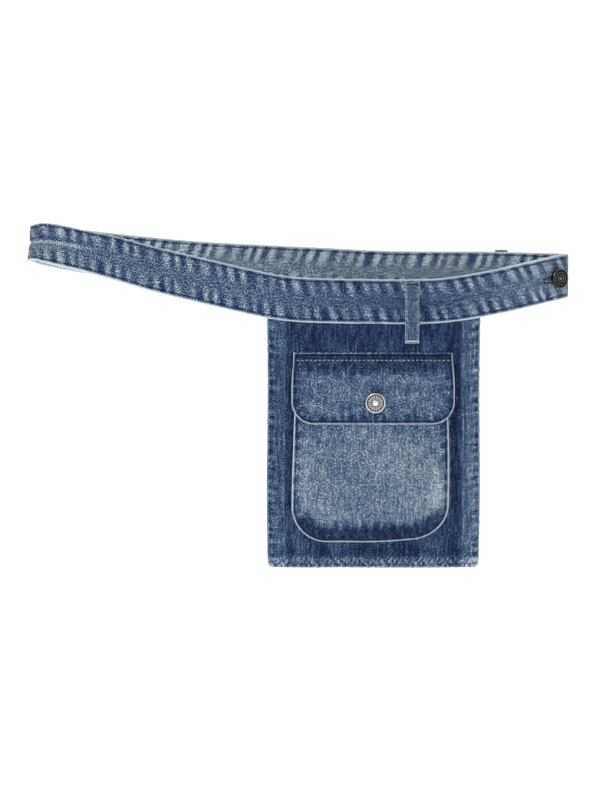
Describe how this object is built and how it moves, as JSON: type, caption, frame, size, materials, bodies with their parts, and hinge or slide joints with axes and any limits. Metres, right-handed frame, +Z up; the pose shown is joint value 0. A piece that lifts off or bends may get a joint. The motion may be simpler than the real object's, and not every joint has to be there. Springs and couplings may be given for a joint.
{
  "type": "waist pack",
  "caption": "Denim waist pack: a buttoned waistband that closes in a loop, with a flat pouch hanging from its front and a gusseted patch pocket under a buttoned flap.",
  "frame": {"origin": "on the waistband's inner face, at the middle of its height, behind the pouch's centre line", "axes": "+X towards the buttoned end of the waistband, +Y from the pouch's front towards the wearer, +Z up"},
  "size_m": [0.4664, 0.1223, 0.295],
  "materials": {
    "band_denim": "washed indigo twill with dark and pale wash marks and pale edges",
    "panel_denim": "dark indigo twill with pale vertical streaks",
    "faded_denim": "strongly faded indigo twill with white abraded edges",
    "lining_denim": "paler wrong side of the twill",
    "interlining": "plain pale woven stiffener",
    "thread": "pale twisted sewing thread",
    "pewter_metal": "antique silver plating, rubbed bright on the high rims",
    "black_metal": "gunmetal plating with a satin sheen"
  },
  "bodies": {
    "belt": {"belt_inner_ply": "lining_denim", "belt_interlining": "interlining", "belt_outer_ply": "band_denim", "front_belt_loop": "band_denim", "front_loop_upper_bartack": "thread", "rear_belt_loop": "band_denim", "rear_loop_upper_bartack": "thread", "rear_loop_lower_bartack": "thread"},
    "belt_end": {"belt_end_inner_ply": "lining_denim", "belt_end_interlining": "interlining", "belt_end_outer_ply": "band_denim", "belt_end_buttonhole": "band_denim"},
    "belt_button": {"belt_button_cap": "black_metal", "belt_button_shank": "black_metal", "belt_button_tack": "pewter_metal"},
    "pouch": {"back_panel": "lining_denim", "front_panel": "panel_denim", "pocket_front": "faded_denim", "pocket_gusset": "faded_denim", "pocket_mouth_facing": "faded_denim", "flap_seam_strip": "panel_denim", "front_loop_lower_bartack": "thread"},
    "flap": {"flap_outer": "faded_denim", "flap_lining": "lining_denim", "flap_buttonhole": "faded_denim"},
    "pocket_button": {"pocket_button_cap": "pewter_metal", "pocket_button_shank": "pewter_metal", "pocket_button_tack": "pewter_metal"}
  },
  "joints": [
    {"name": "belt_end_peel", "type": "hinge", "parent": "belt", "child": "belt_end", "pos_m": [0.11604, -0.0008, 0.01056], "axis": [0.2061, 0.0462, -0.9774], "range_deg": [0, 100], "deforming": ["belt_end_buttonhole"]},
    {"name": "belt_button_spin", "type": "hinge", "parent": "belt", "child": "belt_button", "pos_m": [0.15666, 0.02179, 0.01918], "axis": [0.5736, -0.8191, -0.0001], "continuous": true},
    {"name": "pouch_swing", "type": "hinge", "parent": "belt", "child": "pouch", "pos_m": [0, -0.003, -0.025], "axis": [-1, 0, 0], "range_deg": [-25, 60], "deforming": ["front_belt_loop"]},
    {"name": "flap_hinge", "type": "hinge", "parent": "pouch", "child": "flap", "pos_m": [0, -0.0053, -0.0498], "axis": [-1, 0, 0], "range_deg": [0, 110], "deforming": ["flap_buttonhole"]},
    {"name": "pocket_button_spin", "type": "hinge", "parent": "pouch", "child": "pocket_button", "pos_m": [0.0012, -0.01274, -0.0855], "axis": [0, -0.9988, 0.0484], "continuous": true}
  ]
}
